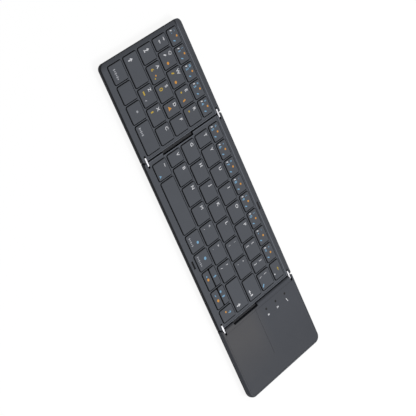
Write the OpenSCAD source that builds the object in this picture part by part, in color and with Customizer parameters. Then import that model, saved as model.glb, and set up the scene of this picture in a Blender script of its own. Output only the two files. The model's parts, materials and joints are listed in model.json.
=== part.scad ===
// Folding keyboard in three hinged panels: a left key panel, a centre key panel and a touch panel.
// The side panels turn over onto the centre panel on pairs of pivoted end links.
// Millimetres. +X runs along the keyboard to the typist's right, +Y to the number row, +Z up.
// The origin is under the middle of the open keyboard, on the surface that it rests on.

/* [Panels] */
// Length of the left key panel, from its outer end to the fold line
left_len = 85.35; // [79:0.05:94]
// Length of the centre key panel, between the two fold lines
centre_len = 153.3; // [140:0.1:170]
// Length of the touch panel, from the fold line to its outer end
touch_len = 65.85; // [62:0.05:72]
// Depth of every panel, front to back
depth = 96; // [88:0.5:106]
// Plan radius of the left panel's outer corners
left_corner_r = 5; // [4.5:0.1:8]
// Plan radius of the touch panel's outer corners
touch_corner_r = 6.5; // [5:0.1:8]
// Plan radius of the corners beside a fold line
fold_corner_r = 2.6; // [1:0.1:2.8]
// Radius of the undercut below the rim
edge_r = 4.2; // [3:0.1:4.3]
// Radius where the key panels' rim rolls into the top
key_roll_r = 1.0; // [0.3:0.1:1.4]
// Radius where the touch panel's rim rolls into the top
touch_roll_r = 2.0; // [0.5:0.1:2.2]

/* [Heights] */
// How far the feet stand out below the shells
foot_h = 0.4; // [0.2:0.1:1]
// Height of the bottom shells
shell_h = 4.4; // [4.35:0.05:4.8]
// Thickness of the bottom shells' floor
floor_t = 1.0; // [0.8:0.1:1.1]
// Height of the key deck above the shells' parting line
deck_rise = 1.8; // [1.7:0.05:2]
// Thickness of the key deck
deck_t = 1.2; // [0.9:0.05:1.2]
// Height of the back ridge above the key deck
ridge_rise = 0.8; // [0.3:0.05:0.85]
// Height of the touch surface above the parting line
touch_rise = 2.6; // [2.3:0.05:2.65]
// Thickness of the touch cover's top
cover_t = 1.0; // [0.7:0.05:1]

/* [Keys] */
// Height of the key tops above the key deck
key_rise = 0.6; // [0.3:0.05:0.7]
// How far a key travels
key_travel = 1.1; // [0.6:0.05:1.1]
// Space between neighbouring keys in a row
key_gap = 1.9; // [1.8:0.05:2.4]
// Space between the rows of keys
row_gap = 2.3; // [2.1:0.05:2.6]
// Space between a key and its window in the deck
window_gap = 0.6; // [0.3:0.05:0.65]
// Plan radius of a key's corners
key_corner_r = 1.5; // [1:0.1:2]
// Chamfer round a key's top
key_chamfer = 0.35; // [0.1:0.05:0.45]
// How far a key's lip reaches under the deck beyond the window
lip_reach = 0.2; // [0.15:0.05:0.3]
// Thickness of a key's lip
lip_t = 0.35; // [0.3:0.05:0.4]
// Wall of a hollow key
key_wall = 0.9; // [0.7:0.05:1]
// Front border, from the panel's front edge to the first row of keys
front_border = 6.8; // [6.6:0.1:7.2]
// Back border, from the number keys to the panel's back edge
back_border = 8.7; // [8.4:0.1:9.4]
// Border from the left panel's outer end to its keys
left_border = 4.4; // [4.2:0.1:5]
// Border from a fold line to the left panel's keys
left_fold_border = 4.0; // [3.95:0.05:4.3]
// Border from the left fold line to the centre panel's keys
centre_left_border = 4.8; // [4.6:0.1:5.2]
// Border from the right fold line to the centre panel's keys
centre_right_border = 4.0; // [3.95:0.05:4.3]
// Share of a split pair's depth that the nearer key takes
split_share = 0.5; // [0.46:0.01:0.54]
// Space between the two keys in a split pair
split_gap = 0.9; // [0.7:0.1:1.2]

/* [Key rows] */
// The widths of a row are fitted to the length of its panel, and the depths to the panels' depth
// Depths of the rows, from the front
row_depths = [15.0, 15.0, 15.0, 15.0, 11.3]; // each 10 to 17
// Widths in the left panel's number row
left_row_5 = [13.87, 13.87, 13.87, 13.87, 13.87]; // each 12 to 16
// Widths in the left panel's top letter row
left_row_4 = [10.4, 14.6, 14.7, 14.7, 14.95]; // each 9 to 16
// Widths in the left panel's home row
left_row_3 = [14.5, 15.2, 14.5, 11.4, 13.75]; // each 9 to 16
// Widths in the left panel's bottom letter row
left_row_2 = [26.6, 15.2, 15.0, 14.45]; // each 9 to 28
// Widths in the left panel's front row
left_row_1 = [15.8, 15.3, 15.3, 24.85]; // each 9 to 26
// Widths in the centre panel's number row
centre_row_5 = [14.3, 14.3, 14.3, 14.3, 14.3, 14.3, 14.3, 14.3, 14.9]; // each 9 to 16
// Widths in the centre panel's top letter row
centre_row_4 = [11.2, 15.8, 15.8, 15.4, 15.4, 16.0, 14.8, 10.2, 14.7]; // each 9 to 17
// Widths in the centre panel's home row
centre_row_3 = [16.8, 16.6, 15.6, 15.6, 16.3, 16.1, 15.6, 18.6]; // each 9 to 20
// Widths in the centre panel's bottom letter row
centre_row_2 = [10.6, 15.7, 16.4, 15.4, 16.5, 15.9, 15.1, 25.6]; // each 9 to 27
// Widths in the centre panel's front row
centre_row_1 = [14.4, 46.4, 15.4, 14.6, 16.0, 15.6, 10.7]; // each 9 to 48

/* [Fold links] */
// Distance between a link's two pivots
link_pitch = 5.6; // [5.5:0.05:6]
// Radius of a link's round ends
link_r = 1.7; // [1.4:0.05:1.8]
// Thickness of a link
link_t = 1.4; // [1:0.1:1.5]
// Space between a link and its slot
link_clear = 0.25; // [0.2:0.05:0.3]
// Extra length of a link's slot beyond the link's end
slot_end_gap = 0.6; // [0:0.1:0.8]
// Distance from the panels' front and back edges to the links
link_inset = 3.8; // [3.6:0.05:4]
// Radius of the pivot pins
pin_r = 0.6; // [0.5:0.05:0.7]
// Radial clearance of a link on its pin
pin_run = 0.05; // [0.02:0.01:0.1]
// Radial clearance of a pin in its seat
pin_seat = 0.02; // [0.01:0.01:0.03]
// Height of the pivots above the parting line
pivot_rise = 0.1; // [0:0.02:0.15]
// Space between two panels' round ends at a fold line
fold_gap = 0.2; // [0.1:0.05:0.4]
// Height of the lip along a fold edge
lip_rib_h = 0.3; // [0.1:0.05:0.35]

/* [Cables and lights] */
// Length of the left cable sleeve, front to back
left_sleeve_len = 35.2; // [20:0.1:40]
// Place of the left cable sleeve's middle, front to back
left_sleeve_y = -7.7; // [-10:0.1:5]
// Length of the right cable sleeve, front to back
right_sleeve_len = 29.2; // [20:0.1:35]
// Place of the right cable sleeve's middle, front to back
right_sleeve_y = -16.7; // [-20:0.1:0]
// Thickness of the cable sleeves
sleeve_t = 1.6; // [1:0.1:1.6]
// How far a sleeve reaches over the fold line
sleeve_reach = 2.3; // [1.5:0.1:2.4]
// Length of a sleeve's slot beyond the fold line
slot_reach = 3.1; // [3:0.05:3.2]
// Depth of a sleeve's slot below the pivots
slot_drop = 2.5; // [2.4:0.05:2.7]
// Radius of the indicator lights
light_r = 0.8; // [0.4:0.05:1]
// Distance between the indicator lights
light_pitch = 12.55; // [8:0.05:14]
// Distance from the right fold line to the lights
light_x = 10.2; // [8:0.1:20]
// Distance from the back edge to the middle light
light_inset = 30.0; // [24:0.1:32]

/* [Fasteners and feet] */
// Radius of a screw's shank
screw_r = 0.7; // [0.5:0.05:0.8]
// Radius of a screw's head
screw_head_r = 1.3; // [1:0.05:1.4]
// Distance from a panel's front or back edge to its screws
screw_inset = 3.1; // [3:0.05:3.3]
// Distance from a panel's outer end to its screws
screw_end_inset = 24; // [20:0.5:28]
// Distance from a pivot to the nearest screws
screw_pivot_inset = 12; // [10:0.5:14]
// Length of a foot
foot_len = 16; // [10:0.5:20]
// Width of a foot
foot_w = 4; // [3:0.25:6]
// Distance from a panel's end to the middle of its feet
foot_inset = 14; // [12:0.5:18]
// Distance from a magnet's middle to the panel's outer end
magnet_end_inset = 12.5; // [11:0.5:14]
// Length of a magnet
magnet_len = 8; // [5:0.5:10]
// Width of a magnet
magnet_w = 2; // [1.5:0.1:2.2]
// Thickness of a magnet
magnet_t = 1.3; // [1:0.1:1.4]

/* [Hidden] */
$fn = 48;

// Overall places along X
open_len = left_len + centre_len + touch_len;
left_end = -open_len / 2;
left_fold = left_end + left_len;
right_fold = left_fold + centre_len;
touch_end = open_len / 2;
half_d = depth / 2;
link_y = half_d - link_inset;
light_y = half_d - light_inset;
far = open_len;

// Pivots: one at each side of a fold line
left_outer_pivot = left_fold - link_pitch / 2;
left_inner_pivot = left_fold + link_pitch / 2;
right_inner_pivot = right_fold - link_pitch / 2;
right_outer_pivot = right_fold + link_pitch / 2;
end_r = (link_pitch - fold_gap) / 2;
slot_r = link_r + link_clear;

// Heights
shell_z = foot_h;
floor_z = foot_h + floor_t;
split_z = foot_h + shell_h;
pivot_z = split_z + pivot_rise;
deck_z = split_z + deck_rise;
deck_under_z = deck_z - deck_t;
ridge_z = deck_z + ridge_rise;
touch_z = split_z + touch_rise;
touch_under_z = touch_z - cover_t;
key_top_z = deck_z + key_rise;
tall = 3 * touch_z;
// How far a cut runs past the face that it opens
past = 1;

// The stack under the keys, from the bottom up
lip_clear = 0.05;
press_clear = 0.1;
lip_z = deck_under_z - lip_clear - lip_t;
key_roof_t = 1.2;
sheet_t = 0.2;
board_t = 0.5;
plate_t = 0.5;
sheet_z = lip_z - key_travel - press_clear - sheet_t;
board_z = sheet_z - board_t;
plate_z = board_z - plate_t;
dome_top_z = key_top_z - key_roof_t - press_clear;
dome_r = 2.2;
dome_top_r = 1.3;
stack_inset = 0.4;
stack_r = 1;
plate_hole_r = 2.5;
plate_hole_pitch = 18;

// Rows of keys, from the front
rows_n = len(row_depths);
rows_front = -half_d + front_border;
rows_back = half_d - back_border;
row_scale = (rows_back - rows_front - (rows_n - 1) * row_gap) / total(row_depths, rows_n);
ridge_gap = 1.2;
ridge_front = rows_back + window_gap + ridge_gap;

// Fields of keys
left_keys_from = left_end + left_border;
left_keys_to = left_fold - left_fold_border;
centre_keys_from = left_fold + centre_left_border;
centre_keys_to = right_fold - centre_right_border;
lip_out = window_gap + lip_reach;
well_gap = 0.2;
well_out = lip_out + well_gap;

// Hinge ears, pins and screws
ear_half = 1.5;
ear_rise = 1.3;
ear_top_z = pivot_z + ear_rise;
ear_root = 0.5;
ear_clear = 0.1;
pin_in = 1.7;
pin_out = 3.0;
pin_from = link_y - pin_in;
pin_to = link_y + pin_out;
ear_wall_in = 0.1;
ear_wall_out = 0.2;
ear_in = pin_from - ear_wall_in;
ear_out = pin_to + ear_wall_out;
pin_end_gap = 0.05;
screw_y = half_d - screw_inset;
screw_rise = 1.1;
screw_top_z = split_z + screw_rise;
head_t = 0.8;
head_sink = 0.5;
screw_seat = 0.05;
drive_len = 1.4;
drive_w = 0.3;
drive_depth = 0.4;
pad_sink = 0.3;
pad_inset = 14;
pad_y = half_d - pad_inset;
pad_seat = 0.05;
magnet_inset = 3.3;
magnet_y = half_d - magnet_inset;
magnet_seat = 0.05;
magnet_cover = 0.15;
magnet_top_z = split_z - magnet_cover;

// Magnets land on each other when a side panel is folded over
left_magnet_x = left_end + magnet_end_inset;
touch_magnet_x = touch_end - magnet_end_inset;
left_landing_x = 2 * left_fold - left_magnet_x;
touch_landing_x = 2 * right_fold - touch_magnet_x;

// Bumpers where the ends of the side panels land
bumper_len = 7;
bumper_w = 1.9;
bumper_corner_r = 0.5;
bumper_seat = 0.05;
bumper_back_shift = 0.65;
bumper_front_shift = 5.35;
bumper_back_inset = 4.2;
bumper_front_inset = 3.2;
bumper_back_x = 2 * left_fold - left_end + bumper_back_shift;
bumper_front_x = 2 * right_fold - touch_end + bumper_front_shift;
bumper_back_y = half_d - bumper_back_inset;
bumper_front_y = -half_d + bumper_front_inset;
bumper_depth = 1.0;
bumper_sink = 0.45;
bumper_back_drop = 0.45;
bumper_back_z = ridge_z - bumper_back_drop;
bumper_front_z = deck_z;

// The touch panel's inside
touch_wall = 5;
room_r = 2;
room_gap = 0.8;
touch_room_from = right_fold + slot_reach + room_gap;
touch_room_to = touch_end - touch_wall;
touch_room_front = -half_d + touch_wall;
touch_room_back = half_d - touch_wall;
battery_gap = [4, 2.5];
battery_size = [46, 34, 3.0];
battery_at = [touch_room_from + battery_gap[0], touch_room_front + battery_gap[1], floor_z];
frame_wall = 1.0;
frame_gap = 0.3;
frame_h = 1.2;
sensor_t = 0.6;
sensor_gap = 1;
sensor_r = 1.5;
board_gap = [3, 9];
board_lift = 1.6;
control_size = [44, 30, 0.8];
control_at = [touch_room_from + board_gap[0], touch_room_back - board_gap[1] - control_size[1],
              floor_z + board_lift];
control_top_z = control_at[2] + control_size[2];
post_r = 1.6;
post_inset = 2;
main_chip = [16, 8, 7, 7, 0.9];
small_chip = [29, 5, 4, 4, 0.8];
lamp_size = [1.6, 1.0, 0.6];
lamp_gap = 0.1;
tongue_root = 1;
tongue_gap = 0.6;
usb_size = [7.6, 5.4, 2.6];
usb_inset = 30;
usb_x = control_at[0] + usb_inset;
usb_wall = 0.35;
usb_back_t = 1;
usb_recess = 0.4;
usb_clear = 0.15;
usb_z = pivot_z - usb_size[2] / 2;
blade_inset = 1.6;
blade_t = 0.5;
blade_from = 0.5;
blade_short = 1.2;
screw_end_gap = 4;
groove_at = 42.2;
groove_y = -half_d + groove_at;
groove_w = 0.35;
groove_d = 0.12;
groove_len = 46;
film_gap = 0.1;
film_edge_w = 0.25;
film_edge_d = 0.1;
light_clear = 0.03;
light_flange = 0.6;
light_sink = 0.05;

// Screws and feet, each row at the front and the back
magnet_screw_gap = 4;
middle_screw_x = left_landing_x - magnet_len / 2 - magnet_screw_gap;
left_screws_x = [left_end + screw_end_inset, left_outer_pivot - screw_pivot_inset];
centre_screws_x = [left_inner_pivot + screw_pivot_inset, middle_screw_x,
                   right_inner_pivot - screw_pivot_inset];
touch_screws_x = [right_outer_pivot + screw_pivot_inset, usb_x - screw_end_gap];
left_feet_x = [left_end + foot_inset, left_outer_pivot - foot_inset];
centre_feet_x = [left_inner_pivot + foot_inset, right_inner_pivot - foot_inset];
touch_feet_x = [right_outer_pivot + foot_inset, touch_end - foot_inset];

// Cable sleeves
sleeve_clear = 0.1;
sleeve_root = 2.9;
sleeve_slot_gap = 1;
sleeve_grooves = 4;
sleeve_groove_from = 0.4;
sleeve_groove_pitch = 0.6;
sleeve_groove_w = 0.2;
sleeve_groove_d = 0.3;
mouth_depth = 1.5;

dark = [0.30, 0.31, 0.33];
darker = [0.24, 0.25, 0.27];
key_grey = [0.33, 0.34, 0.36];

// ---------------------------------------------------------------- helpers

// A section drawn in Y and Z, run along X
module along_x(x0, x1) {
    translate([x0, 0, 0])
        rotate([90, 0, 90])
            linear_extrude(x1 - x0) children();
}

// A section drawn in X and Z, run along Y
module along_y(y0, y1) {
    translate([0, y1, 0])
        rotate([90, 0, 0])
            linear_extrude(y1 - y0) children();
}

// A box between two corners
module box(low, high) {
    translate(low) cube(high - low);
}

// A rectangle with round corners, drawn flat
module round_rect(x0, y0, x1, y1, r) {
    translate([x0 + r, y0]) square([x1 - x0 - 2 * r, y1 - y0]);
    translate([x0, y0 + r]) square([x1 - x0, y1 - y0 - 2 * r]);
    for (x = [x0 + r, x1 - r], y = [y0 + r, y1 - r])
        translate([x, y]) circle(r);
}

// Half of a bottom shell's section, from the corner's centre out to the rim
module shell_half(r) {
    intersection() {
        translate([0, shell_z]) square([r, shell_h]);
        union() {
            translate([0, shell_z]) square([r - edge_r, shell_h]);
            translate([0, shell_z + edge_r]) square([r, shell_h - edge_r]);
            translate([r - edge_r, shell_z + edge_r]) circle(edge_r);
        }
    }
}

// Half of a top's section, from the corner's centre out to the rim
module top_half(r, top_z, roll_r) {
    intersection() {
        translate([0, split_z]) square([r, top_z - split_z]);
        union() {
            translate([0, split_z]) square([r - roll_r, top_z - split_z]);
            translate([0, split_z]) square([r, top_z - split_z - roll_r]);
            translate([r - roll_r, top_z - roll_r]) circle(roll_r);
        }
    }
}

// A panel's body: its half section run along both long edges, round the outer end and its corners.
// outer is -1 when the outer end is at x0, 1 when it is at x1, and 0 when both ends are folds.
module swept(x0, x1, r, outer, z0, z1) {
    from = outer < 0 ? x0 + r : x0;
    to = outer > 0 ? x1 - r : x1;
    across = half_d - r;
    for (side = [-1, 1]) {
        along_x(from, to)
            translate([side * across, 0]) mirror([side < 0 ? 1 : 0, 0]) children();
        if (outer != 0)
            translate([outer < 0 ? from : to, side * across, 0])
                rotate_extrude() children();
    }
    if (outer != 0)
        along_y(-across, across)
            translate([outer < 0 ? from : to, 0]) mirror([outer < 0 ? 1 : 0, 0]) children();
    box([from, -across, z0], [to, across, z1]);
}

// Everything on a panel's side of its fold lines: a round end about each pivot
module fold_mask(x0, x1, ends) {
    toe_r = 0.8;
    along_y(-depth, depth) {
        translate([x0, -tall]) square([x1 - x0, 2 * tall]);
        for (end = ends) {
            pivot = end > 0 ? x1 : x0;
            translate([pivot, pivot_z]) circle(end_r);
            translate([end > 0 ? pivot : pivot - end_r, shell_z + toe_r])
                square([end_r, pivot_z - shell_z - toe_r]);
            translate([end > 0 ? pivot : pivot - end_r + toe_r, shell_z])
                square([end_r - toe_r, 2 * toe_r]);
            translate([pivot + end * (end_r - toe_r), shell_z + toe_r]) circle(toe_r);
        }
    }
}

// Rounds a panel's plan corners beside its fold lines
module plan_mask(x0, x1, ends) {
    translate([0, 0, -tall])
        linear_extrude(2 * tall) {
            from = min(ends) < 0 ? x0 + fold_corner_r : x0;
            to = max(ends) > 0 ? x1 - fold_corner_r : x1;
            across = half_d - fold_corner_r;
            translate([from, -half_d]) square([to - from, depth]);
            translate([x0, -across]) square([x1 - x0, 2 * across]);
            for (end = ends, side = [-1, 1])
                translate([end > 0 ? to : from, side * across]) circle(fold_corner_r);
        }
}

// The open slots that a fold's two links swing in, and the seats of their pins.
// side is 1 where the fold line lies at higher X than the pivot.
module link_slots(pivot, side) {
    fold_side = pivot + side * (end_r + past);
    back_side = pivot - side * (slot_r + slot_end_gap);
    for (front = [-1, 1]) {
        along_y(front * link_y - link_t / 2 - link_clear, front * link_y + link_t / 2 + link_clear) {
            translate([pivot, pivot_z]) circle(slot_r);
            translate([min(pivot, fold_side), pivot_z - slot_r]) square([abs(fold_side - pivot), tall]);
            translate([min(pivot, back_side), pivot_z]) square([slot_r + slot_end_gap, tall]);
        }
        pin_bore(pivot, front);
    }
}

module pin_bore(pivot, front) {
    translate([pivot, front > 0 ? pin_to + pin_end_gap : -pin_from + pin_end_gap, pivot_z])
        rotate([90, 0, 0]) cylinder(h = pin_to - pin_from + 2 * pin_end_gap, r = pin_r + pin_seat);
}

// Ears of a bottom shell that hold the pins on both sides of each link
module ears(pivot, grow) {
    for (front = [-1, 1]) {
        y0 = front > 0 ? ear_in : -ear_out;
        box([pivot - ear_half - grow, y0 - grow, split_z - ear_root],
            [pivot + ear_half + grow, y0 + ear_out - ear_in + grow, ear_top_z + grow]);
    }
}

// Pins in one pivot's seats
module pins(pivot) {
    for (front = [-1, 1])
        translate([pivot, front > 0 ? pin_to : -pin_from, pivot_z])
            rotate([90, 0, 0]) cylinder(h = pin_to - pin_from, r = pin_r);
}

module links(inner, outer) {
    for (front = [-1, 1])
        difference() {
            along_y(front * link_y - link_t / 2, front * link_y + link_t / 2) {
                for (x = [inner, outer])
                    translate([x, pivot_z]) circle(link_r);
                translate([min(inner, outer), pivot_z - link_r]) square([link_pitch, 2 * link_r]);
            }
            for (x = [inner, outer])
                translate([x, front * link_y + link_t, pivot_z])
                    rotate([90, 0, 0]) cylinder(h = 2 * link_t, r = pin_r + pin_run);
        }
}

// ---------------------------------------------------------------- rows of keys

// Sum of the first n numbers of a list
function total(list, n) = n < 1 ? 0 : list[n - 1] + total(list, n - 1);

// One key's span along X, with the row's widths fitted to the field
function span(from, to, widths, i) =
    let (fit = (to - from - (len(widths) - 1) * key_gap) / total(widths, len(widths)),
         start = from + total(widths, i) * fit + i * key_gap)
    [start, start + widths[i] * fit];

function left_widths(row) =
    row == 5 ? left_row_5 : row == 4 ? left_row_4 : row == 3 ? left_row_3 :
    row == 2 ? left_row_2 : left_row_1;

function centre_widths(row) =
    row == 5 ? centre_row_5 : row == 4 ? centre_row_4 : row == 3 ? centre_row_3 :
    row == 2 ? centre_row_2 : centre_row_1;

function row_from(row) = rows_front + total(row_depths, row - 1) * row_scale + (row - 1) * row_gap;
function row_to(row) = row_from(row) + row_depths[row - 1] * row_scale;

// The two split pairs in the centre panel's front row
split_keys = [4, 5];

function is_split(centre, row, i) = centre && row == 1 && (i == split_keys[0] || i == split_keys[1]);
function split_at(y0, y1) = y0 + (y1 - y0) * split_share;

// One key: a hollow cap with a chamfered top, and a lip that the deck holds it by
module keycap(x, y0, y1, front_lip = true, back_lip = true) {
    front = front_lip ? lip_out : 0;
    back = back_lip ? lip_out : 0;
    difference() {
        union() {
            intersection() {
                translate([0, 0, lip_z])
                    linear_extrude(key_top_z - lip_z) round_rect(x[0], y0, x[1], y1, key_corner_r);
                along_y(y0 - past, y1 + past) chamfered(x[0], x[1]);
                along_x(x[0] - past, x[1] + past) chamfered(y0, y1);
            }
            box([x[0] - lip_out, y0 - front, lip_z], [x[1] + lip_out, y1 + back, lip_z + lip_t]);
        }
        box([x[0] + key_wall, y0 + key_wall, lip_z - past],
            [x[1] - key_wall, y1 - key_wall, key_top_z - key_roof_t]);
    }
}

// A key's upright section with its top corners cut off
module chamfered(a, b) {
    low = lip_z - past;
    polygon([[a, low], [b, low], [b, key_top_z - key_chamfer], [b - key_chamfer, key_top_z],
             [a + key_chamfer, key_top_z], [a, key_top_z - key_chamfer]]);
}

// Keys first to last of one row of the left or the centre panel
module keys(centre, row, first, last) {
    from = centre ? centre_keys_from : left_keys_from;
    to = centre ? centre_keys_to : left_keys_to;
    widths = centre ? centre_widths(row) : left_widths(row);
    color(key_grey)
        for (i = [first : last])
            keycap(span(from, to, widths, i), row_from(row), row_to(row));
}

module left_keys(row, first, last) {
    keys(false, row, first, last);
}

module centre_keys(row, first, last) {
    keys(true, row, first, last);
}

// Runs its children once for each key place of a panel, with $x, $y0 and $y1 set to the place
module each_key(centre) {
    from = centre ? centre_keys_from : left_keys_from;
    to = centre ? centre_keys_to : left_keys_to;
    for (row = [1 : rows_n]) {
        widths = centre ? centre_widths(row) : left_widths(row);
        for (i = [0 : len(widths) - 1]) {
            $x = span(from, to, widths, i);
            $y0 = row_from(row);
            $y1 = row_to(row);
            $split = is_split(centre, row, i);
            children();
        }
    }
}

module key_windows(centre) {
    translate([0, 0, deck_under_z - past])
        linear_extrude(tall)
            each_key(centre)
                round_rect($x[0] - window_gap, $y0 - window_gap, $x[1] + window_gap, $y1 + window_gap,
                           key_corner_r + window_gap);
}

// ---------------------------------------------------------------- shared pieces of the key panels

// The space under the deck that the keys and their boards sit in
module key_well(from, to, z0, z1) {
    box([from - well_out, rows_front - well_out, z0], [to + well_out, rows_back + well_out, z1]);
}

// Ribs on the floor that carry the support plate
module plate_ribs(from, to) {
    rib_t = 1.2;
    rib_inset = 1;
    rib_short = 2;
    between = [for (row = [2 : rows_n]) row_from(row) - row_gap / 2];
    for (y = concat([rows_front + rib_inset], between, [rows_back - rib_inset]))
        box([from + rib_short, y - rib_t / 2, floor_z - floor_t / 2],
            [to - rib_short, y + rib_t / 2, plate_z]);
}

// A flat board or sheet under a field of keys
module stack_layer(from, to, z, t) {
    translate([0, 0, z])
        linear_extrude(t)
            round_rect(from - well_out + stack_inset, rows_front - well_out + stack_inset,
                       to + well_out - stack_inset, rows_back + well_out - stack_inset, stack_r);
}

module dome_sheet(centre, from, to) {
    stack_layer(from, to, sheet_z, sheet_t);
    each_key(centre) {
        x = ($x[0] + $x[1]) / 2;
        if ($split)
            for (y = [($y0 + split_at($y0, $y1)) / 2, (split_at($y0, $y1) + split_gap + $y1) / 2])
                dome(x, y);
        else
            dome(x, ($y0 + $y1) / 2);
    }
}

module dome(x, y) {
    translate([x, y, sheet_z])
        cylinder(h = dome_top_z - sheet_z, r1 = dome_r, r2 = dome_top_r);
}

module support_plate(from, to) {
    first = from + plate_hole_pitch / 2;
    last = to - plate_hole_pitch / 2;
    difference() {
        stack_layer(from, to, plate_z, plate_t);
        for (row = [1 : rows_n - 1], x = [first : plate_hole_pitch : last])
            translate([x, (row_from(row) + row_to(row)) / 2, plate_z - past])
                cylinder(h = plate_t + 2 * past, r = plate_hole_r);
    }
}

// The ridge behind the number keys, highest at its front
module ridge(x0, x1) {
    lean = 0.5;
    crest = 0.6;
    root = 0.3;
    rim_rise = 1.0;
    rim_z = split_z + rim_rise;
    along_x(x0, x1)
        polygon([[ridge_front - lean, deck_z - root], [ridge_front, ridge_z], [ridge_front + crest, ridge_z],
                 [half_d, rim_z], [half_d, split_z + root]]);
}

// A thin raised lip beside a fold line
module fold_lip(pivot, side) {
    lip_w = 0.5;
    lip_inset = 1.0;
    front_gap = 2;
    root = 0.3;
    x = pivot + side * (end_r - lip_inset);
    box([x - lip_w / 2, -half_d + front_gap, deck_z - root],
        [x + lip_w / 2, ridge_front, deck_z + lip_rib_h]);
}

module screw_bores(xs) {
    for (x = xs, side = [-1, 1])
        translate([x, side * screw_y, 0]) {
            translate([0, 0, -1])
                cylinder(h = 1 + shell_z + head_sink + head_t, r = screw_head_r + screw_seat);
            cylinder(h = screw_top_z + screw_seat, r = screw_r + screw_seat);
        }
}

module screws(xs) {
    head_z = shell_z + head_sink;
    color("dimgray")
        for (x = xs, side = [-1, 1])
            translate([x, side * screw_y, head_z])
                difference() {
                    union() {
                        cylinder(h = head_t, r = screw_head_r);
                        cylinder(h = screw_top_z - head_z, r = screw_r);
                    }
                    for (turn = [0, 90])
                        rotate([0, 0, turn])
                            box([-drive_len / 2, -drive_w / 2, -1],
                                [drive_len / 2, drive_w / 2, drive_depth]);
                }
}

module feet_form(xs, grow, z0, z1) {
    for (x = xs, side = [-1, 1])
        translate([0, 0, z0])
            linear_extrude(z1 - z0)
                round_rect(x - foot_len / 2 - grow, side * pad_y - foot_w / 2 - grow,
                           x + foot_len / 2 + grow, side * pad_y + foot_w / 2 + grow, foot_w * 0.45 + grow);
}

module feet(xs) {
    color([0.12, 0.12, 0.13]) feet_form(xs, 0, 0, shell_z + pad_sink);
}

module foot_seats(xs) {
    feet_form(xs, pad_seat, 0, shell_z + pad_sink);
}

module magnets_form(xs, grow, extra) {
    for (x = xs, side = [-1, 1])
        box([x - magnet_len / 2 - grow, side * magnet_y - magnet_w / 2 - grow, magnet_top_z - magnet_t],
            [x + magnet_len / 2 + grow, side * magnet_y + magnet_w / 2 + grow, magnet_top_z + extra]);
}

module magnets(xs) {
    color("silver") magnets_form(xs, 0, 0);
}

module magnet_seats(xs) {
    magnets_form(xs, magnet_seat, 1);
}

// A sleeve's mouth through the wall that it comes out of
module sleeve_mouth(fold, side, y, length) {
    x0 = fold - side * (sleeve_root + mouth_depth);
    x1 = fold + side * 1;
    box([min(x0, x1), y - length / 2 - sleeve_clear, pivot_z - sleeve_t / 2 - sleeve_clear],
        [max(x0, x1), y + length / 2 + sleeve_clear, pivot_z + sleeve_t / 2 + sleeve_clear]);
}

// The open slot that a sleeve dips into as the panel folds
module sleeve_slot(fold, y, length) {
    box([fold - past, y - length / 2 - sleeve_slot_gap, pivot_z - slot_drop],
        [fold + slot_reach, y + length / 2 + sleeve_slot_gap, tall]);
}

// The raised rim along the far side of a sleeve's slot
module slot_rim(fold, y, length) {
    rim_w = 0.5;
    root = 0.3;
    across = length / 2 + sleeve_slot_gap;
    box([fold + slot_reach, y - across, deck_z - root],
        [fold + slot_reach + rim_w, y + across, deck_z + lip_rib_h]);
}

// A flexible sleeve round a flat cable, with grooves so that it bends
module sleeve(fold, y, length) {
    groove_top = pivot_z + sleeve_t / 2;
    color([0.06, 0.06, 0.07])
        difference() {
            along_y(y - length / 2, y + length / 2) {
                translate([fold - sleeve_root, pivot_z - sleeve_t / 2])
                    square([sleeve_root + sleeve_reach - sleeve_t / 2, sleeve_t]);
                translate([fold + sleeve_reach - sleeve_t / 2, pivot_z]) circle(sleeve_t / 2);
            }
            for (i = [0 : sleeve_grooves - 1])
                translate([fold - sleeve_groove_from + i * sleeve_groove_pitch, y, groove_top])
                    box([0, -length, -sleeve_groove_d], [sleeve_groove_w, length, sleeve_t]);
        }
}

// ---------------------------------------------------------------- left panel

module left_bottom_shell() {
    color(darker)
        difference() {
            union() {
                intersection() {
                    swept(left_end, left_fold, left_corner_r, -1, shell_z, split_z)
                        shell_half(left_corner_r);
                    fold_mask(-far, left_outer_pivot, [1]);
                    plan_mask(left_end, left_outer_pivot + end_r, [1]);
                }
                ears(left_outer_pivot, 0);
            }
            difference() {
                key_well(left_keys_from, left_keys_to, floor_z, split_z + past);
                plate_ribs(left_keys_from, left_keys_to);
            }
            link_slots(left_outer_pivot, 1);
            sleeve_mouth(left_fold, 1, left_sleeve_y, left_sleeve_len);
            screw_bores(left_screws_x);
            foot_seats(left_feet_x);
            magnet_seats([left_magnet_x]);
        }
}

module left_key_frame() {
    color(dark)
        difference() {
            intersection() {
                union() {
                    swept(left_end, left_fold, left_corner_r, -1, split_z, deck_z)
                        top_half(left_corner_r, deck_z, key_roll_r);
                    intersection() {
                        ridge(left_end, left_fold);
                        swept(left_end, left_fold, left_corner_r, -1, split_z, ridge_z)
                            top_half(left_corner_r, ridge_z, key_roll_r);
                    }
                    fold_lip(left_outer_pivot, 1);
                }
                fold_mask(-far, left_outer_pivot, [1]);
                plan_mask(left_end, left_outer_pivot + end_r, [1]);
            }
            key_well(left_keys_from, left_keys_to, split_z - past, deck_under_z);
            key_windows(false);
            link_slots(left_outer_pivot, 1);
            ears(left_outer_pivot, ear_clear);
            sleeve_mouth(left_fold, 1, left_sleeve_y, left_sleeve_len);
            screw_bores(left_screws_x);
        }
}

module left_dome_sheet() {
    color([0.75, 0.75, 0.72]) dome_sheet(false, left_keys_from, left_keys_to);
}

module left_switch_board() {
    color([0.05, 0.35, 0.2]) stack_layer(left_keys_from, left_keys_to, board_z, board_t);
}

module left_support_plate() {
    color("lightgray") support_plate(left_keys_from, left_keys_to);
}

module left_magnets() {
    magnets([left_magnet_x]);
}

module left_screws() {
    screws(left_screws_x);
}

module left_feet() {
    feet(left_feet_x);
}

module left_fold_pins() {
    color("silver") pins(left_outer_pivot);
}

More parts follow.
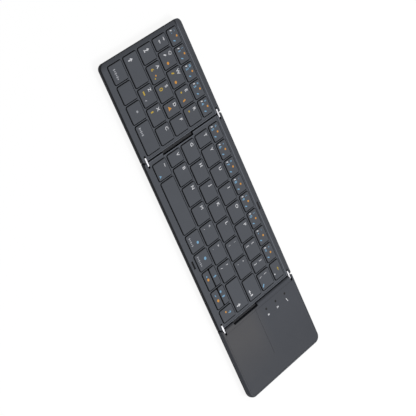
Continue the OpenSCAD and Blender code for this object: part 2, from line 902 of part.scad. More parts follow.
module left_cable_sleeve() {
    sleeve(left_fold, left_sleeve_y, left_sleeve_len);
}

module left_fold_links() {
    color("silver") links(left_inner_pivot, left_outer_pivot);
}

// ---------------------------------------------------------------- centre panel

module centre_bottom_shell() {
    color(darker)
        difference() {
            union() {
                intersection() {
                    swept(left_fold, right_fold, left_corner_r, 0, shell_z, split_z)
                        shell_half(left_corner_r);
                    fold_mask(left_inner_pivot, right_inner_pivot, [-1, 1]);
                    plan_mask(left_inner_pivot - end_r, right_inner_pivot + end_r, [-1, 1]);
                }
                ears(left_inner_pivot, 0);
                ears(right_inner_pivot, 0);
            }
            difference() {
                key_well(centre_keys_from, centre_keys_to, floor_z, split_z + past);
                plate_ribs(centre_keys_from, centre_keys_to);
            }
            link_slots(left_inner_pivot, -1);
            link_slots(right_inner_pivot, 1);
            sleeve_slot(left_fold, left_sleeve_y, left_sleeve_len);
            sleeve_mouth(right_fold, 1, right_sleeve_y, right_sleeve_len);
            screw_bores(centre_screws_x);
            foot_seats(centre_feet_x);
            magnet_seats([left_landing_x, touch_landing_x]);
        }
}

module centre_key_frame() {
    color(dark)
        difference() {
            intersection() {
                union() {
                    swept(left_fold, right_fold, left_corner_r, 0, split_z, deck_z)
                        top_half(left_corner_r, deck_z, key_roll_r);
                    ridge(left_fold, right_fold);
                    fold_lip(left_inner_pivot, -1);
                    fold_lip(right_inner_pivot, 1);
                    slot_rim(left_fold, left_sleeve_y, left_sleeve_len);
                }
                fold_mask(left_inner_pivot, right_inner_pivot, [-1, 1]);
                plan_mask(left_inner_pivot - end_r, right_inner_pivot + end_r, [-1, 1]);
            }
            key_well(centre_keys_from, centre_keys_to, split_z - past, deck_under_z);
            key_windows(true);
            link_slots(left_inner_pivot, -1);
            link_slots(right_inner_pivot, 1);
            ears(left_inner_pivot, ear_clear);
            ears(right_inner_pivot, ear_clear);
            sleeve_slot(left_fold, left_sleeve_y, left_sleeve_len);
            sleeve_mouth(right_fold, 1, right_sleeve_y, right_sleeve_len);
            screw_bores(centre_screws_x);
            bumper_seats();
        }
}

module bumper_form(x, y, top, grow, above) {
    translate([0, 0, top - bumper_depth])
        linear_extrude(bumper_depth + above)
            round_rect(x - bumper_len / 2 - grow, y - bumper_w / 2 - grow,
                       x + bumper_len / 2 + grow, y + bumper_w / 2 + grow, bumper_corner_r + grow);
}

module bumper_seats() {
    bumper_form(bumper_back_x, bumper_back_y, bumper_back_z, bumper_seat, tall);
    bumper_form(bumper_front_x, bumper_front_y, bumper_front_z, bumper_seat, tall);
}

module centre_bumpers() {
    color([0.05, 0.05, 0.06]) {
        bumper_form(bumper_back_x, bumper_back_y, bumper_back_z, 0, -bumper_sink);
        bumper_form(bumper_front_x, bumper_front_y, bumper_front_z, 0, -bumper_sink);
    }
}

module centre_dome_sheet() {
    color([0.75, 0.75, 0.72]) dome_sheet(true, centre_keys_from, centre_keys_to);
}

module centre_switch_board() {
    color([0.05, 0.35, 0.2]) stack_layer(centre_keys_from, centre_keys_to, board_z, board_t);
}

module centre_support_plate() {
    color("lightgray") support_plate(centre_keys_from, centre_keys_to);
}

module centre_magnets() {
    magnets([left_landing_x, touch_landing_x]);
}

module centre_screws() {
    screws(centre_screws_x);
}

module centre_feet() {
    feet(centre_feet_x);
}

module centre_fold_pins() {
    color("silver") {
        pins(left_inner_pivot);
        pins(right_inner_pivot);
    }
}

module right_cable_sleeve() {
    sleeve(right_fold, right_sleeve_y, right_sleeve_len);
}

// ---------------------------------------------------------------- touch panel

// The room inside the touch panel
module touch_room(z0, z1) {
    translate([0, 0, z0])
        linear_extrude(z1 - z0)
            round_rect(touch_room_from, touch_room_front, touch_room_to, touch_room_back, room_r);
}

// The socket's way in, through the back wall
module usb_way() {
    box([usb_x - usb_clear, touch_room_back - past, usb_z - usb_clear],
        [usb_x + usb_size[0] + usb_clear, half_d + past, usb_z + usb_size[2] + usb_clear]);
}

module touch_bottom_shell() {
    color(darker)
        difference() {
            union() {
                intersection() {
                    swept(right_fold, touch_end, touch_corner_r, 1, shell_z, split_z)
                        shell_half(touch_corner_r);
                    fold_mask(right_outer_pivot, far, [-1]);
                    plan_mask(right_outer_pivot - end_r, touch_end, [-1]);
                }
                ears(right_outer_pivot, 0);
            }
            difference() {
                touch_room(floor_z, split_z + past);
                control_posts();
                battery_frame();
            }
            link_slots(right_outer_pivot, -1);
            sleeve_slot(right_fold, right_sleeve_y, right_sleeve_len);
            screw_bores(touch_screws_x);
            foot_seats(touch_feet_x);
            magnet_seats([touch_magnet_x]);
            usb_way();
        }
}

// Posts that carry the control board's corners
module control_posts() {
    for (x = [control_at[0] + post_inset, control_at[0] + control_size[0] - post_inset],
         y = [control_at[1] + post_inset, control_at[1] + control_size[1] - post_inset])
        translate([x, y, floor_z - floor_t / 2])
            cylinder(h = control_at[2] - floor_z + floor_t / 2, r = post_r);
}

// A low wall round the battery
module battery_frame() {
    around = frame_gap + frame_wall;
    low = battery_at - [around, around, floor_t / 2];
    high = battery_at + [battery_size[0] + around, battery_size[1] + around, frame_h];
    difference() {
        box(low, high);
        box(low + [frame_wall, frame_wall, -1], high + [-frame_wall, -frame_wall, 1]);
    }
}

module touch_cover() {
    color(dark)
        difference() {
            intersection() {
                swept(right_fold, touch_end, touch_corner_r, 1, split_z, touch_z)
                    top_half(touch_corner_r, touch_z, touch_roll_r);
                fold_mask(right_outer_pivot, far, [-1]);
                plan_mask(right_outer_pivot - end_r, touch_end, [-1]);
            }
            touch_room(split_z - past, touch_under_z);
            link_slots(right_outer_pivot, -1);
            ears(right_outer_pivot, ear_clear);
            sleeve_slot(right_fold, right_sleeve_y, right_sleeve_len);
            screw_bores(touch_screws_x);
            light_bores();
            usb_way();
            box([right_fold, groove_y - groove_w / 2, touch_z - groove_d],
                [right_fold + groove_len, groove_y + groove_w / 2, touch_z + past]);
            film_edge();
        }
}

// The fine line round the touch film, which ends where the rim starts to roll over
module film_edge() {
    inset = touch_roll_r + film_gap;
    difference() {
        film_outline(inset, touch_z - film_edge_d, touch_z + past);
        film_outline(inset + film_edge_w, touch_z - past, touch_z + 2 * past);
    }
}

module film_outline(inset, z0, z1) {
    translate([0, 0, z0])
        linear_extrude(z1 - z0)
            round_rect(right_outer_pivot + inset, -half_d + inset, touch_end - inset, half_d - inset,
                       touch_corner_r - inset);
}

module touch_sensor_board() {
    color([0.05, 0.35, 0.2])
        translate([0, 0, touch_under_z - sensor_t])
            linear_extrude(sensor_t)
                round_rect(touch_room_from + sensor_gap, touch_room_front + sensor_gap,
                           touch_room_to - sensor_gap, groove_y - sensor_gap, sensor_r);
}

// A chip on the control board: its place, size and height
module chip(form) {
    at = [control_at[0] + form[0], control_at[1] + form[1], control_top_z];
    box(at, at + [form[2], form[3], form[4]]);
}

module control_board() {
    color([0.05, 0.35, 0.2]) {
        box(control_at, control_at + control_size);
        box([usb_x, control_at[1] + control_size[1] - tongue_root, control_at[2]],
            [usb_x + usb_size[0], touch_room_back - tongue_gap, usb_z]);
    }
    color([0.1, 0.1, 0.1]) {
        chip(main_chip);
        chip(small_chip);
    }
    color("white")
        for (i = [-1 : 1])
            translate([right_fold + light_x, light_y + i * light_pitch, control_top_z])
                translate([-lamp_size[0] / 2, -lamp_size[1] / 2, 0]) cube(lamp_size);
}

module battery() {
    color([0.65, 0.67, 0.7]) box(battery_at, battery_at + battery_size);
}

module usb_socket() {
    x = [usb_x, usb_x + usb_size[0]];
    y = [half_d - usb_size[1] - usb_recess, half_d - usb_recess];
    color("silver")
        difference() {
            box([x[0], y[0], usb_z], [x[1], y[1], usb_z + usb_size[2]]);
            box([x[0] + usb_wall, y[0] + usb_back_t, usb_z + usb_wall],
                [x[1] - usb_wall, y[1] + past, usb_z + usb_size[2] - usb_wall]);
        }
    color("black")
        box([x[0] + blade_inset, y[0] + blade_from, pivot_z - blade_t / 2],
            [x[1] - blade_inset, y[1] - blade_short, pivot_z + blade_t / 2]);
}

module light_bores() {
    for (i = [-1 : 1])
        translate([right_fold + light_x, light_y + i * light_pitch, split_z])
            cylinder(h = tall, r = light_r + light_clear);
}

module indicator_lights() {
    foot_z = control_top_z + lamp_size[2] + lamp_gap;
    color([0.1, 0.1, 0.11])
        for (i = [-1 : 1])
            translate([right_fold + light_x, light_y + i * light_pitch, 0]) {
                translate([0, 0, foot_z]) cylinder(h = touch_under_z - foot_z, r = light_r + light_flange);
                translate([0, 0, foot_z]) cylinder(h = touch_z - light_sink - foot_z, r = light_r);
            }
}

module touch_magnets() {
    magnets([touch_magnet_x]);
}

module touch_screws() {
    screws(touch_screws_x);
}

module touch_feet() {
    feet(touch_feet_x);
}

module touch_fold_pins() {
    color("silver") pins(right_outer_pivot);
}

module right_fold_links() {
    color("silver") links(right_inner_pivot, right_outer_pivot);
}

// ---------------------------------------------------------------- split pairs

// The nearer and the farther key of each split pair share one window
module half_keys(upper) {
    y0 = row_from(1);
    y1 = row_to(1);
    middle = split_at(y0, y1);
    color(key_grey)
        for (i = split_keys) {
            x = span(centre_keys_from, centre_keys_to, centre_row_1, i);
            if (upper)
                keycap(x, middle + split_gap, y1, front_lip = false);
            else
                keycap(x, y0, middle, back_lip = false);
        }
}

// ---------------------------------------------------------------- one line for each node

centre_bottom_shell();
centre_key_frame();
centre_dome_sheet();
centre_switch_board();
centre_support_plate();
centre_magnets();
centre_bumpers();
centre_screws();
centre_feet();
centre_fold_pins();
right_cable_sleeve();
left_bottom_shell();
left_key_frame();
left_dome_sheet();
left_switch_board();
left_support_plate();
left_magnets();
left_screws();
left_feet();
left_fold_pins();
left_cable_sleeve();
touch_bottom_shell();
touch_cover();
touch_sensor_board();
control_board();
battery();
usb_socket();
indicator_lights();
touch_magnets();
touch_screws();
touch_feet();
touch_fold_pins();
left_fold_links();
right_fold_links();
left_keys(5, 0, 4);  // left_number_keys
left_keys(4, 0, 0);  // tab_key
left_keys(4, 1, 4);  // left_top_letter_keys
left_keys(3, 0, 0);  // caps_key
left_keys(3, 1, 4);  // left_home_letter_keys
left_keys(2, 0, 0);  // left_shift_key
left_keys(2, 1, 3);  // left_bottom_letter_keys
left_keys(1, 0, 0);  // ctrl_key
left_keys(1, 1, 1);  // fn_key
left_keys(1, 2, 2);  // alt_key
left_keys(1, 3, 3);  // left_wide_key
centre_keys(5, 0, 7);  // centre_number_keys
centre_keys(5, 8, 8);  // backspace_key
centre_keys(4, 0, 7);  // centre_top_letter_keys
centre_keys(4, 8, 8);  // backslash_key
centre_keys(3, 0, 6);  // centre_home_letter_keys
centre_keys(3, 7, 7);  // enter_key
centre_keys(2, 0, 6);  // centre_bottom_letter_keys
centre_keys(2, 7, 7);  // right_shift_key
centre_keys(1, 0, 0);  // language_key
centre_keys(1, 1, 1);  // space_key
centre_keys(1, 2, 2);  // right_alt_key
centre_keys(1, 3, 3);  // right_ctrl_key
half_keys(true);  // upper_half_keys
half_keys(false);  // lower_half_keys
centre_keys(1, 6, 6);  // end_key
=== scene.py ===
import json
import math

import bmesh
import bpy
from mathutils import Matrix, Vector


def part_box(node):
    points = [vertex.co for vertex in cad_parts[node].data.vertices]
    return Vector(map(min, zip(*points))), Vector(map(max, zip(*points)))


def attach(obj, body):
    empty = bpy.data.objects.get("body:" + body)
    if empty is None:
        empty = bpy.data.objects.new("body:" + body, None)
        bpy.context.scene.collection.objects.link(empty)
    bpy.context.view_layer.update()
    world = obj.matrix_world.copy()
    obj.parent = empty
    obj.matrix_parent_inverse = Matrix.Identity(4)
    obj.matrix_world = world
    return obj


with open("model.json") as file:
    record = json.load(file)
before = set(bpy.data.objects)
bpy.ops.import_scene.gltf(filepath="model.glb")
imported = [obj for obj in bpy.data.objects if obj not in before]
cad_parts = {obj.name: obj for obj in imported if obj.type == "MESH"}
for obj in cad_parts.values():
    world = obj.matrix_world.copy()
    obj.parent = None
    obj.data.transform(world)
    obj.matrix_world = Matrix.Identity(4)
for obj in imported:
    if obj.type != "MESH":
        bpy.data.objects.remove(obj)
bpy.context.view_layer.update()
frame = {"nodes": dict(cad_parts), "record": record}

MM = 0.001


# ---------------------------------------------------------------- camera

# Fitted to the photograph's outline: focal length in pixels of the 416 pixel square image,
# place in millimetres, and the directions of the image's right, down and depth.
IMAGE_PX = 416
FOCAL_PX = 1487.8
SENSOR_MM = 36
CLIP_NEAR, CLIP_FAR = 0.05, 20
CAMERA_AT = Vector((-338.25, -741.55, 901.55)) * MM
CAMERA_RIGHT = Vector((0.393178, 0.633652, 0.666255))
CAMERA_DOWN = Vector((0.877105, -0.475879, -0.065015))
CAMERA_DEPTH = Vector((0.275860, 0.609938, -0.742884))


def make_camera():
    """The camera that sees what the photograph shows."""
    data = bpy.data.cameras.new("camera")
    data.sensor_width = SENSOR_MM
    data.lens = FOCAL_PX / IMAGE_PX * SENSOR_MM
    data.clip_start = CLIP_NEAR
    data.clip_end = CLIP_FAR
    camera = bpy.data.objects.new("camera", data)
    turn = Matrix((CAMERA_RIGHT, -CAMERA_DOWN, -CAMERA_DEPTH)).transposed().to_4x4()
    camera.matrix_world = Matrix.Translation(CAMERA_AT) @ turn
    bpy.context.scene.collection.objects.link(camera)
    bpy.context.scene.camera = camera


# ---------------------------------------------------------------- node helpers

# Rays that look for the edges and gaps near each point
RAYS = 6
# Most of a noise's values lie between these two
NOISE_SPREAD = (0.3, 0.7)
# How the rounded normal agrees with the surface's own, along an edge and away from it
EDGE_DOT = (0.75, 0.99)
# The upward part of the normal, on an upright side and on a flat top
WALL_UP = (0.5, 0.97)
# The height over which the painted shade of upright sides ends
WALL_FADE = 0.1 * MM
# How open a point is, deep in a gap and in the open
GAP_OPEN = (0.45, 0.8)
# The share of a piece's length over which its ends change to their painted shade
END_FADE = 0.06


def new_material(name):
    """A material, with its node tree and its shader."""
    material = bpy.data.materials.new(name)
    material.use_nodes = True
    tree = material.node_tree
    return material, tree, tree.nodes["Principled BSDF"]


def link(tree, out_socket, in_socket):
    tree.links.new(out_socket, in_socket)


def object_coordinates(tree, scale=(1, 1, 1)):
    """Object-space coordinates in metres, stretched by scale."""
    where = tree.nodes.new("ShaderNodeTexCoord")
    mapping = tree.nodes.new("ShaderNodeMapping")
    mapping.inputs["Scale"].default_value = scale
    link(tree, where.outputs["Object"], mapping.inputs["Vector"])
    return mapping.outputs["Vector"]


def separate(tree, vector):
    node = tree.nodes.new("ShaderNodeSeparateXYZ")
    link(tree, vector, node.inputs["Vector"])
    return node.outputs


def noise(tree, vector, scale, detail=3.0, roughness=0.6):
    node = tree.nodes.new("ShaderNodeTexNoise")
    node.inputs["Scale"].default_value = scale
    node.inputs["Detail"].default_value = detail
    node.inputs["Roughness"].default_value = roughness
    link(tree, vector, node.inputs["Vector"])
    return node.outputs["Fac"]


def map_range(tree, value, low, high, to_low, to_high):
    node = tree.nodes.new("ShaderNodeMapRange")
    node.inputs["From Min"].default_value = low
    node.inputs["From Max"].default_value = high
    node.inputs["To Min"].default_value = to_low
    node.inputs["To Max"].default_value = to_high
    link(tree, value, node.inputs["Value"])
    return node.outputs["Result"]


def combine(tree, operation, a, b):
    """Two numbers joined by a math node, such as MULTIPLY or MAXIMUM."""
    node = tree.nodes.new("ShaderNodeMath")
    node.operation = operation
    link(tree, a, node.inputs[0])
    link(tree, b, node.inputs[1])
    return node.outputs["Value"]


def mix_colours(tree, factor, a, b):
    """a where the factor is 0 and b where it is 1; each is a colour or a socket."""
    node = tree.nodes.new("ShaderNodeMix")
    node.data_type = "RGBA"
    link(tree, factor, node.inputs["Factor"])
    for socket, colour in ((node.inputs[6], a), (node.inputs[7], b)):
        if isinstance(colour, tuple):
            socket.default_value = (*colour, 1)
        else:
            link(tree, colour, socket)
    return node.outputs[2]


def scaled(colour, share):
    """A colour with the given share of its light."""
    return tuple(channel * share for channel in colour)


def bump(tree, height, strength, distance, normal=None):
    node = tree.nodes.new("ShaderNodeBump")
    node.inputs["Strength"].default_value = strength
    node.inputs["Distance"].default_value = distance
    link(tree, height, node.inputs["Height"])
    if normal is not None:
        link(tree, normal, node.inputs["Normal"])
    return node.outputs["Normal"]


def soft_edges(tree, radius):
    """A normal that rounds sharp edges a little."""
    node = tree.nodes.new("ShaderNodeBevel")
    node.samples = RAYS
    node.inputs["Radius"].default_value = radius
    return node.outputs["Normal"]


def edge_share(tree, rounded):
    """1 along sharp edges, where the rounded normal leaves the surface's own, and 0 elsewhere."""
    geometry = tree.nodes.new("ShaderNodeNewGeometry")
    dot = tree.nodes.new("ShaderNodeVectorMath")
    dot.operation = "DOT_PRODUCT"
    link(tree, rounded, dot.inputs[0])
    link(tree, geometry.outputs["Normal"], dot.inputs[1])
    return map_range(tree, dot.outputs["Value"], *EDGE_DOT, 1, 0)


def wall_share(tree, below=None):
    """1 on a piece's upright sides, below a height if one is given, and 0 on its flat top."""
    where = tree.nodes.new("ShaderNodeTexCoord")
    upright = map_range(tree, separate(tree, where.outputs["Normal"])["Z"], *WALL_UP, 1, 0)
    if below is None:
        return upright
    height = separate(tree, where.outputs["Object"])["Z"]
    low = map_range(tree, height, below, below + WALL_FADE, 1, 0)
    return combine(tree, "MULTIPLY", upright, low)


def crevice_share(tree, reach):
    """1 deep in a gap and 0 in the open: where the gaps' painted shade goes."""
    node = tree.nodes.new("ShaderNodeAmbientOcclusion")
    node.samples = RAYS
    node.inputs["Distance"].default_value = reach
    return map_range(tree, node.outputs["AO"], *GAP_OPEN, 1, 0)


def end_share(tree, middle):
    """1 at a piece's left and right ends and 0 in the middle share of its length."""
    where = tree.nodes.new("ShaderNodeTexCoord")
    across = separate(tree, where.outputs["Generated"])["X"]
    start = (1 - middle) / 2
    left = map_range(tree, across, start, start - END_FADE, 0, 1)
    right = map_range(tree, across, 1 - start, 1 - start + END_FADE, 0, 1)
    return combine(tree, "MAXIMUM", left, right)


def srgb(red, green, blue):
    """A display colour, 0 to 255, as the scene's linear colour."""
    def channel(value):
        value /= 255
        return value / 12.92 if value <= 0.04045 else ((value + 0.055) / 1.055) ** 2.4
    return tuple(channel(v) for v in (red, green, blue))


# ---------------------------------------------------------------- materials

# The width of a machined or filmed edge
FINE_EDGE = 0.15 * MM
# Where the touch panel's film turns cooler, from front to back, and darker, from left to right
FILM_COOLS = (-16 * MM, 2 * MM)
FILM_DARKENS = (105 * MM, 140 * MM)
# The share of a metal's light that is left on its ends, which are painted as shade
END_SHADE = 0.06


def moulded_plastic(name, colour, roughness=0.55, side_shade=0.5, edge=0.3 * MM, edge_light=1.5, gap_shade=0.25,
                    reach=2.2 * MM, below=None, tones=()):
    """Fine-grained moulded plastic: spark-eroded grain, cloudy sheen, painted light along edges and
    painted shade on sides and in gaps.

    The shares for upright sides, gaps and edges are shares of the colour's light: painted shade on
    upright sides and deep in gaps, and along edges a painted highlight above 1 and painted shade
    below it. edge is an edge's width, and reach is how wide a gap still counts as one. Where below is
    given, the sides' painted shade lies only below that height. Each of the tones is an axis, where
    on it the tone starts, where it is full, and the share of the colour's light there."""
    material, tree, shader = new_material(name)
    where = object_coordinates(tree)
    grains = noise(tree, where, scale=5200, detail=2, roughness=0.5)
    clouds = noise(tree, where, scale=42, detail=4)
    rounded = soft_edges(tree, edge)
    cloudy = mix_colours(tree, map_range(tree, clouds, *NOISE_SPREAD, 0, 1),
                         scaled(colour, 0.95), scaled(colour, 1.05))
    speckled = mix_colours(tree, map_range(tree, grains, 0.35, 0.75, 0, 0.4),
                           cloudy, scaled(colour, 1.3))
    # Edges painted lighter as a highlight, and darker as shade where the share is below 1
    edge_lit = mix_colours(tree, edge_share(tree, rounded), speckled, scaled(colour, edge_light))
    # Tones along an axis: for the deck, a painted highlight on its raised lips and darker bands
    for axis, start, full, share in tones:
        toned = map_range(tree, separate(tree, where)[axis], start, full, 0, 1)
        edge_lit = mix_colours(tree, toned, edge_lit, scaled(colour, share))
    # Painted shade on upright sides
    sided = mix_colours(tree, wall_share(tree, below), edge_lit, scaled(colour, side_shade))
    # Painted shade deep in gaps
    shaded = mix_colours(tree, crevice_share(tree, reach), sided, scaled(colour, gap_shade))
    link(tree, shaded, shader.inputs["Base Color"])
    link(tree, map_range(tree, clouds, *NOISE_SPREAD, roughness - 0.05, roughness + 0.06),
         shader.inputs["Roughness"])
    shader.inputs["Specular IOR Level"].default_value = 0.12
    link(tree, bump(tree, grains, strength=0.06, distance=0.04 * MM, normal=rounded),
         shader.inputs["Normal"])
    return material


def touch_plastic(name, front, back, far=0.85, side_shade=0.8, gap_shade=0.3, reach=1.5 * MM):
    """The touch panel's top: a silky film, warmer in front of the groove and cooler behind it.

    far and the shares for upright sides and gaps are shares of the back colour's light: at the
    panel's right end, and painted shade on upright sides and deep in gaps. reach is how wide a gap
    still counts as one."""
    material, tree, shader = new_material(name)
    where = object_coordinates(tree)
    place = separate(tree, where)
    grains = noise(tree, where, scale=6500, detail=2, roughness=0.5)
    clouds = noise(tree, where, scale=30, detail=3)
    rounded = soft_edges(tree, FINE_EDGE)
    tone = mix_colours(tree, map_range(tree, place["Y"], *FILM_COOLS, 0, 1), front, back)
    far_tone = mix_colours(tree, map_range(tree, place["X"], *FILM_DARKENS, 0, 1),
                           tone, scaled(back, far))
    clouded = mix_colours(tree, map_range(tree, clouds, *NOISE_SPREAD, 0, 0.1),
                          far_tone, scaled(front, 1.4))
    # Painted shade on upright sides
    sided = mix_colours(tree, wall_share(tree), clouded, scaled(back, side_shade))
    # Painted shade deep in gaps
    shaded = mix_colours(tree, crevice_share(tree, reach), sided, scaled(back, gap_shade))
    link(tree, shaded, shader.inputs["Base Color"])
    link(tree, map_range(tree, grains, *NOISE_SPREAD, 0.42, 0.52), shader.inputs["Roughness"])
    shader.inputs["Specular IOR Level"].default_value = 0.2
    link(tree, bump(tree, grains, strength=0.03, distance=0.03 * MM, normal=rounded),
         shader.inputs["Normal"])
    return material


def rubber(name, colour, roughness=0.75):
    """Matt rubber with a fine mottle."""
    material, tree, shader = new_material(name)
    mottle = noise(tree, object_coordinates(tree), scale=900, detail=3)
    link(tree, mix_colours(tree, mottle, colour, scaled(colour, 1.6)), shader.inputs["Base Color"])
    shader.inputs["Roughness"].default_value = roughness
    shader.inputs["Specular IOR Level"].default_value = 0.2
    link(tree, bump(tree, mottle, strength=0.12, distance=0.05 * MM), shader.inputs["Normal"])
    return material


def metal(name, colour, roughness=0.3, brushed=(1, 1, 1), scratch=0.08, bright=1):
    """Metal with a brushed or tumbled finish: noise stretched along the brushing.

    bright is the share of a piece's length that is bright, between ends painted dark as shade."""
    material, tree, shader = new_material(name)
    lines = noise(tree, object_coordinates(tree, brushed), scale=2600, detail=4)
    shader.inputs["Metallic"].default_value = 1
    finish = mix_colours(tree, lines, scaled(colour, 0.85), colour)
    if bright < 1:
        # Painted shade on the piece's two ends
        finish = mix_colours(tree, end_share(tree, bright), finish, scaled(colour, END_SHADE))
    link(tree, finish, shader.inputs["Base Color"])
    link(tree, map_range(tree, lines, *NOISE_SPREAD, roughness - 0.07, roughness + 0.1),
         shader.inputs["Roughness"])
    rounded = soft_edges(tree, FINE_EDGE)
    link(tree, bump(tree, lines, scratch, distance=0.02 * MM, normal=rounded),
         shader.inputs["Normal"])
    return material


def circuit_board(name):
    """Green solder mask with faint copper runs under it."""
    material, tree, shader = new_material(name)
    cells = tree.nodes.new("ShaderNodeTexVoronoi")
    cells.distance = "MANHATTAN"
    cells.feature = "DISTANCE_TO_EDGE"
    cells.inputs["Scale"].default_value = 380
    link(tree, object_coordinates(tree, (1, 1, 0.01)), cells.inputs["Vector"])
    runs = map_range(tree, cells.outputs["Distance"], 0.02, 0.06, 1, 0)
    link(tree, mix_colours(tree, runs, srgb(16, 74, 44), srgb(30, 104, 60)),
         shader.inputs["Base Color"])
    shader.inputs["Roughness"].default_value = 0.3
    link(tree, bump(tree, runs, strength=0.2, distance=0.03 * MM), shader.inputs["Normal"])
    return material


def silicone(name):
    """Milky silicone rubber, as dome sheets are made of."""
    material, tree, shader = new_material(name)
    haze = noise(tree, object_coordinates(tree), scale=300, detail=3)
    link(tree, mix_colours(tree, haze, srgb(176, 176, 170), srgb(200, 200, 194)),
         shader.inputs["Base Color"])
    shader.inputs["Roughness"].default_value = 0.6
    shader.inputs["Subsurface Weight"].default_value = 0.2
    shader.inputs["Subsurface Radius"].default_value = (0.6 * MM, 0.6 * MM, 0.6 * MM)
    return material


def foil(name):
    """A battery's crinkled foil pouch."""
    material, tree, shader = new_material(name)
    creases = noise(tree, object_coordinates(tree), scale=160, detail=5)
    shader.inputs["Metallic"].default_value = 0.9
    link(tree, mix_colours(tree, creases, srgb(168, 172, 180), srgb(188, 192, 200)),
         shader.inputs["Base Color"])
    link(tree, map_range(tree, creases, *NOISE_SPREAD, 0.28, 0.45), shader.inputs["Roughness"])
    link(tree, bump(tree, creases, strength=0.4, distance=0.3 * MM), shader.inputs["Normal"])
    return material


def smoked_guide(name):
    """Smoked plastic over a lamp that is off."""
    material, tree, shader = new_material(name)
    specks = noise(tree, object_coordinates(tree), scale=1500)
    link(tree, mix_colours(tree, specks, srgb(3, 3, 4), srgb(8, 8, 9)),
         shader.inputs["Base Color"])
    shader.inputs["Roughness"].default_value = 0.4
    shader.inputs["Specular IOR Level"].default_value = 0.25
    return material


def ink(name, colour):
    """Screen-printed ink: nearly even, a little thin in places."""
    material, tree, shader = new_material(name)
    thin = noise(tree, object_coordinates(tree), scale=2200, detail=2)
    worn = map_range(tree, thin, 0.4, 0.8, 0, 0.3)
    link(tree, mix_colours(tree, worn, colour, scaled(colour, 0.75)), shader.inputs["Base Color"])
    shader.inputs["Roughness"].default_value = 0.55
    shader.inputs["Specular IOR Level"].default_value = 0.2
    link(tree, bump(tree, thin, strength=0.05, distance=0.02 * MM), shader.inputs["Normal"])
    return material


# A point this close under a piece's highest one is as high
LEVEL = 0.01 * MM


def crest_of(node):
    """The Y of a node's highest line, which is the front of the back ridge."""
    points = [v.co for v in frame["nodes"][node].data.vertices]
    height = max(p.z for p in points)
    return min(p.y for p in points if p.z > height - LEVEL)


CREST_Y = crest_of("centre_key_frame")
LEFT_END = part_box("left_key_frame")[0].x
# A painted highlight on the lips above the deck, a darker bezel behind the ridge's crest that ends it
# there, and a darker left border
DECK_TONES = (
    ("Z", 6.66 * MM, 6.8 * MM, 2.0),
    ("Y", CREST_Y + 0.3 * MM, CREST_Y + 1.0 * MM, 0.74),
    ("X", LEFT_END + 7 * MM, LEFT_END + 2 * MM, 0.7),
)

MATERIALS = {
    # Shell: painted shade on sides and in gaps, a painted highlight along edges
    "shell_plastic": moulded_plastic("shell_plastic", srgb(60, 62, 67),
                                     roughness=0.6, side_shade=0.8),
    # Deck: painted shade on sides and in gaps, a painted highlight along edges and raised lips
    "deck_plastic": moulded_plastic("deck_plastic", srgb(78, 81, 87),
                                    roughness=0.58, side_shade=0.12, edge=0.5 * MM, edge_light=1.9,
                                    gap_shade=0.12, reach=0.9 * MM, below=6.4 * MM,
                                    tones=DECK_TONES),
    # Touch panel: painted shade on its sides and in its gaps
    "touch_plastic": touch_plastic("touch_plastic", srgb(73, 73, 76), srgb(62, 65, 72)),
    # Keys: sides, edges and gaps painted nearly black as the shade around them
    "key_plastic": moulded_plastic("key_plastic", srgb(79, 82, 88),
                                   roughness=0.55, side_shade=0.03, edge=0.35 * MM, edge_light=0.2,
                                   gap_shade=0.05),
    "silicone": silicone("silicone"),
    "circuit_board": circuit_board("circuit_board"),
    "plate_steel": metal("plate_steel", srgb(205, 206, 208), roughness=0.35, brushed=(1, 8, 1)),
    "magnet": metal("magnet", srgb(214, 214, 218), roughness=0.2),
    "screw_steel": metal("screw_steel", srgb(52, 52, 55), roughness=0.4),
    "foot_rubber": rubber("foot_rubber", srgb(22, 22, 24)),
    "pin_steel": metal("pin_steel", srgb(208, 208, 212), roughness=0.25, brushed=(8, 1, 8)),
    # Links: ends painted dark as shade
    "link_metal": metal("link_metal", srgb(232, 232, 236), roughness=0.34, brushed=(1, 6, 6),
                        bright=0.72),
    "sleeve_rubber": rubber("sleeve_rubber", srgb(46, 47, 50), roughness=0.7),
    "battery_foil": foil("battery_foil"),
    "socket_metal": metal("socket_metal", srgb(205, 206, 210), roughness=0.28, brushed=(1, 6, 1)),
    "light_guide": smoked_guide("light_guide"),
}

INKS = [
    ink("ink_white", srgb(218, 219, 223)),
    ink("ink_blue", srgb(122, 168, 200)),
    ink("ink_orange", srgb(212, 150, 66)),
    ink("ink_yellow", srgb(190, 162, 62)),
    ink("ink_grey", srgb(164, 166, 172)),
    ink("ink_black", srgb(8, 8, 9)),
]
WHITE, BLUE, ORANGE, YELLOW, GREY, BLACK = range(len(INKS))


def dress_nodes():
    """Gives every CAD node the material of its slot in the record."""
    for part in frame["record"]["subparts"]:
        mesh = frame["nodes"][part["node"]].data
        mesh.materials.clear()
        mesh.materials.append(MATERIALS[part["material_slot"]])


# ---------------------------------------------------------------- tops of a node's solids

# Points of a CAD node that are closer than this are one point
MERGE = 0.02 * MM


def flat_tops(node):
    """The flat top of each solid of a node, from left to right: x0, x1, y0, y1 and its height."""
    work = bmesh.new()
    work.from_mesh(frame["nodes"][node].data)
    bmesh.ops.remove_doubles(work, verts=work.verts, dist=MERGE)
    seen = set()
    tops = []
    for start in work.verts:
        if start in seen:
            continue
        seen.add(start)
        group = [start]
        for vertex in group:
            for edge in vertex.link_edges:
                other = edge.other_vert(vertex)
                if other not in seen:
                    seen.add(other)
                    group.append(other)
        height = max(v.co.z for v in group)
        top = [v.co for v in group if v.co.z > height - MERGE]
        tops.append((min(p.x for p in top), max(p.x for p in top),
                     min(p.y for p in top), max(p.y for p in top), height))
    work.free()
    return sorted(tops)


# ---------------------------------------------------------------- printed marks

# The ink stands this far above the surface, and its solid reaches as far below it
INK_LIFT = 0.015 * MM
# Points of a print that are closer than this are one point
PRINT_MERGE = MERGE / 20
